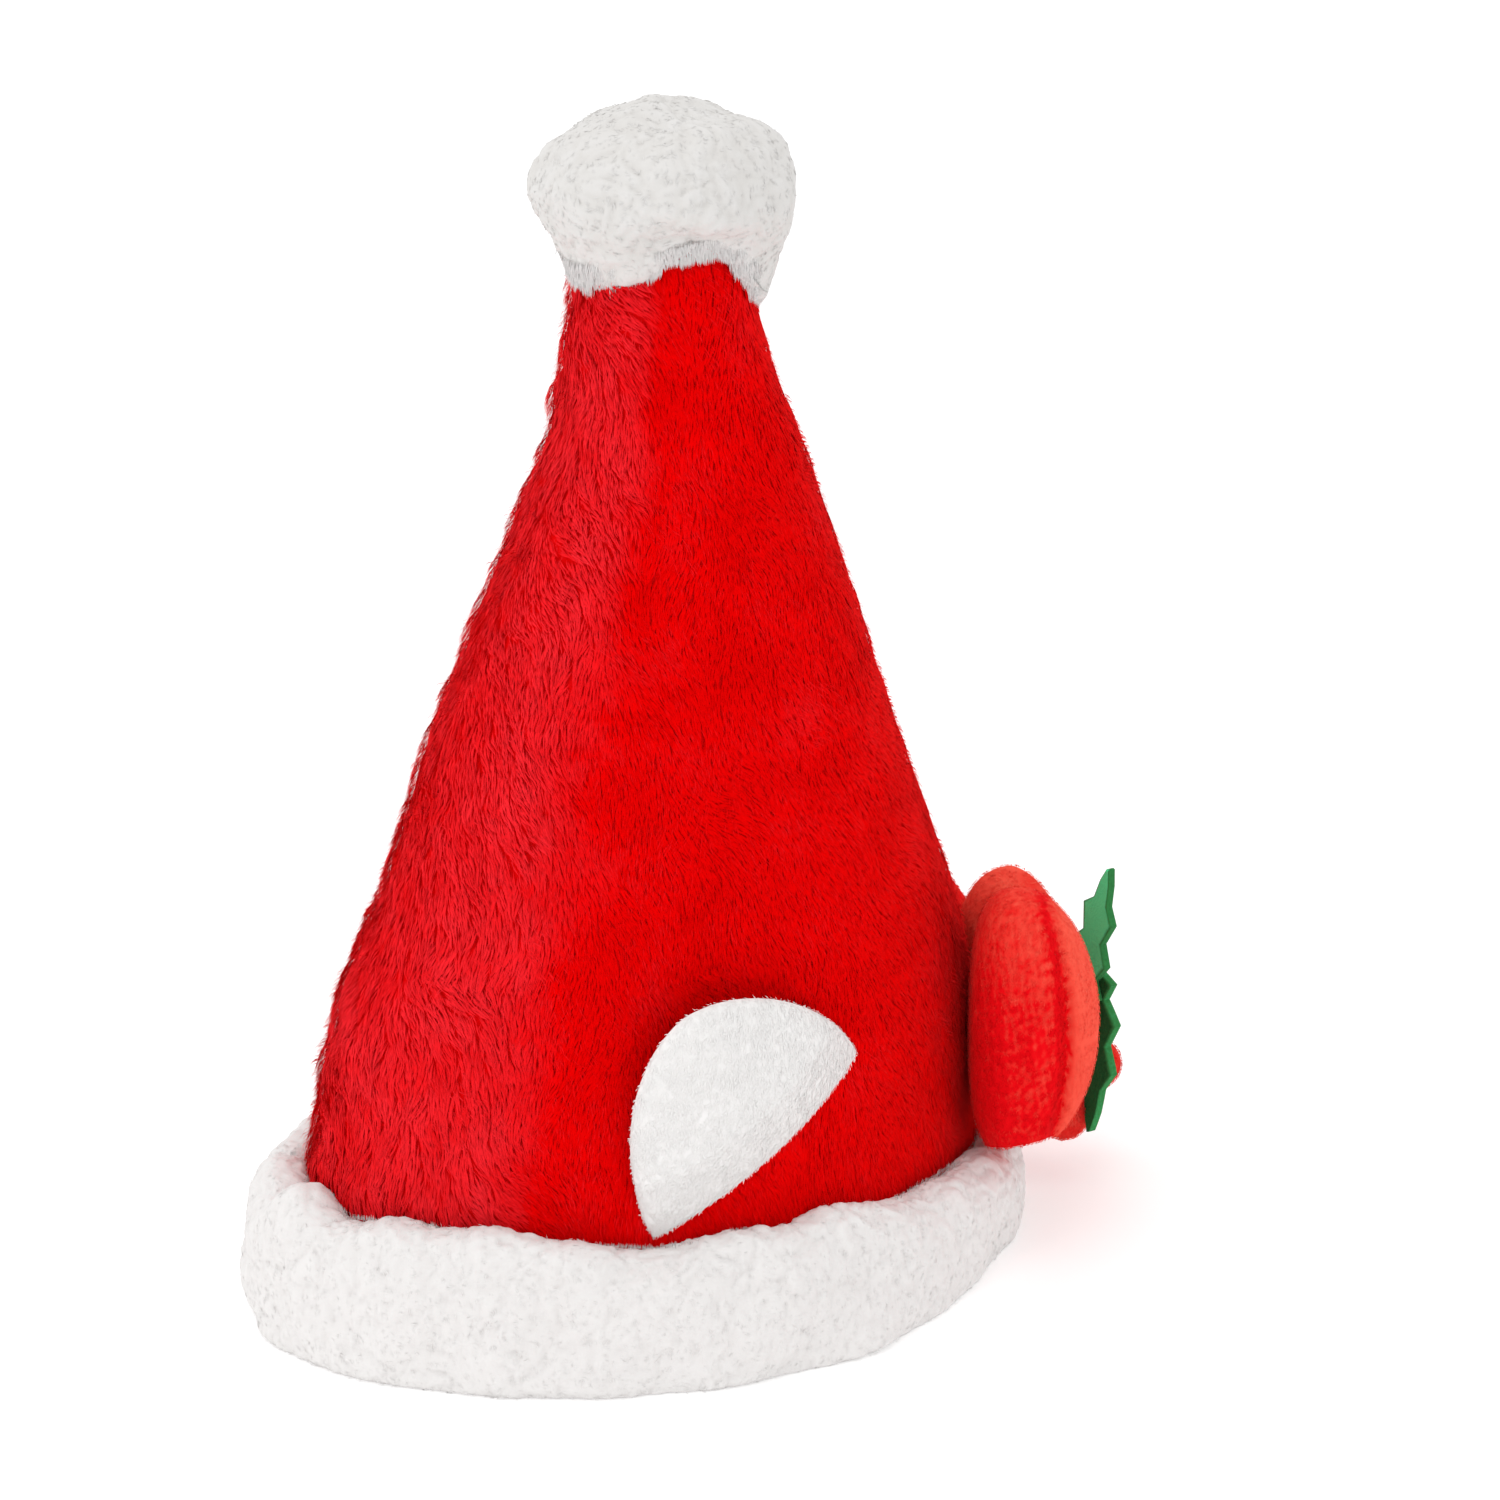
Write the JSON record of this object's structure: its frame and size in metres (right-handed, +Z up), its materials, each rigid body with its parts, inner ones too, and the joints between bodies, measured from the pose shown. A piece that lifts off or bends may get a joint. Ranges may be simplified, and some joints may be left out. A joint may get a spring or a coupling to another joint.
{
  "type": "santa hat",
  "caption": "Tall plush santa hat that stands on its padded band, with a pompom, ear flaps and a stuffed bow with holly leaves and berries.",
  "frame": {"origin": "middle of the hat's bounding box, on the plane it stands on", "axes": "+Z up to the pompom, -Y to the hat's front where the bow is, -X to the wearer's right"},
  "size_m": [0.1968, 0.3002, 0.363],
  "materials": {
    "red_plush": "medium-pile plush",
    "white_sherpa": "thick curly sherpa",
    "pompom_sherpa": "long tufted pile",
    "white_plush": "short-pile plush",
    "coral_plush": "short-pile plush",
    "green_felt": "thick cut felt",
    "berry_plush": "short-pile plush"
  },
  "bodies": {
    "root": {"crown": "red_plush", "band": "white_sherpa", "pompom": "pompom_sherpa", "ear_right": "white_plush", "ear_left": "white_plush", "bow_knot": "coral_plush", "bow_loop_right": "coral_plush", "bow_loop_left": "coral_plush", "holly_leaf_upper": "green_felt", "holly_leaf_lower": "green_felt", "berry_upper": "berry_plush", "berry_lower": "berry_plush"}
  },
  "joints": []
}
